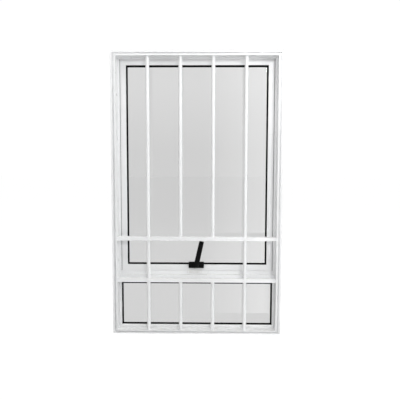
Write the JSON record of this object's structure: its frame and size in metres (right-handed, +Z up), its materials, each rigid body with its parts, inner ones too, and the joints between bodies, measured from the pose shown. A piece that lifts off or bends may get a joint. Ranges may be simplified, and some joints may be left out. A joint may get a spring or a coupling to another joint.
{
  "type": "barred projecting window",
  "caption": "Top-hung projecting window over a fixed light, with a security grille of round bars and flat rails inside its frame.",
  "frame": {"origin": "middle of the sill's underside, halfway through the frame's depth", "axes": "+X to the right seen from the room, +Y from the room to the outside, +Z up"},
  "size_m": [0.6, 0.09, 1],
  "materials": {
    "white_coated_aluminium": "white powder coat, satin, on extruded aluminium",
    "clear_glass": "clear float glass, 4 mm",
    "black_gasket": "black EPDM, matt",
    "raw_aluminium": "mill finish",
    "stainless_steel": "satin stainless steel",
    "black_coated_metal": "black satin coat on die-cast metal",
    "black_nylon": "black nylon, matt",
    "white_nylon": "white nylon",
    "zinc_screw": "zinc-plated steel"
  },
  "bodies": {
    "frame": {"fixed_glass": "clear_glass", "fixed_glazing_beads": "white_coated_aluminium", "fixed_inner_gasket": "black_gasket", "fixed_outer_gasket": "black_gasket", "fixed_setting_blocks": "black_nylon", "frame_corner_cleats": "raw_aluminium", "grille_rivets": "white_coated_aluminium", "head": "white_coated_aluminium", "keeper": "white_nylon", "keeper_rivets": "zinc_screw", "left_frame_pin": "stainless_steel", "left_jamb": "white_coated_aluminium", "left_long_bar": "white_coated_aluminium", "left_lower_bar": "white_coated_aluminium", "left_stay_track": "stainless_steel", "left_upper_bar": "white_coated_aluminium", "lower_rail": "white_coated_aluminium", "rail_end_plugs": "white_nylon", "rail_end_screws": "zinc_screw", "right_frame_pin": "stainless_steel", "right_jamb": "white_coated_aluminium", "right_long_bar": "white_coated_aluminium", "right_lower_bar": "white_coated_aluminium", "right_stay_track": "stainless_steel", "right_upper_bar": "white_coated_aluminium", "sash_seal": "black_gasket", "sill": "white_coated_aluminium", "stay_track_rivets": "zinc_screw", "transom": "white_coated_aluminium", "upper_rail": "white_coated_aluminium"},
    "sash": {"sash_top_rail": "white_coated_aluminium", "sash_bottom_rail": "white_coated_aluminium", "sash_left_stile": "white_coated_aluminium", "sash_right_stile": "white_coated_aluminium", "sash_corner_cleats": "raw_aluminium", "sash_glass": "clear_glass", "sash_inner_gasket": "black_gasket", "sash_outer_gasket": "black_gasket", "sash_glazing_beads": "white_coated_aluminium", "sash_setting_blocks": "black_nylon", "left_sash_bar": "stainless_steel", "right_sash_bar": "stainless_steel", "left_sash_pins": "stainless_steel", "right_sash_pins": "stainless_steel", "sash_bar_screws": "zinc_screw", "handle_base": "black_coated_metal", "handle_screws": "zinc_screw"},
    "left_arm": {"left_stay_arm": "stainless_steel"},
    "right_arm": {"right_stay_arm": "stainless_steel"},
    "left_shoe": {"left_stay_shoe": "white_nylon"},
    "right_shoe": {"right_stay_shoe": "white_nylon"},
    "handle": {"handle_lever": "black_coated_metal", "cam_tongue": "black_coated_metal", "handle_spindle": "black_coated_metal"}
  },
  "joints": [
    {"name": "stay_swing", "type": "hinge", "parent": "frame", "child": "left_arm", "pos_m": [-0.288, 0.026, 0.6815], "axis": [-1, 0, 0], "range_deg": [0, 45]},
    {"name": "sash_tilt", "type": "hinge", "parent": "left_arm", "child": "sash", "pos_m": [-0.288, 0.026, 0.8315], "axis": [1, 0, 0], "range_deg": [0, 90]},
    {"name": "right_arm_swing", "type": "hinge", "parent": "sash", "child": "right_arm", "pos_m": [0.288, 0.026, 0.8315], "axis": [-1, 0, 0], "range_deg": [0, 90]},
    {"name": "left_shoe_travel", "type": "hinge", "parent": "sash", "child": "left_shoe", "pos_m": [-0.293, 0.026, 0.9815], "axis": [-1, 0, 0], "range_deg": [0, 45]},
    {"name": "right_shoe_travel", "type": "hinge", "parent": "sash", "child": "right_shoe", "pos_m": [0.293, 0.026, 0.9815], "axis": [-1, 0, 0], "range_deg": [0, 45]},
    {"name": "handle_turn", "type": "hinge", "parent": "sash", "child": "handle", "pos_m": [-0.002, 0.003, 0.2403], "axis": [0, 1, 0], "range_deg": [0, 90]}
  ],
  "couplings": [
    {"joint": "sash_tilt", "follows": "stay_swing", "ratio": 2},
    {"joint": "right_arm_swing", "follows": "stay_swing", "ratio": 2},
    {"joint": "left_shoe_travel", "follows": "stay_swing", "ratio": 1},
    {"joint": "right_shoe_travel", "follows": "stay_swing", "ratio": 1}
  ]
}
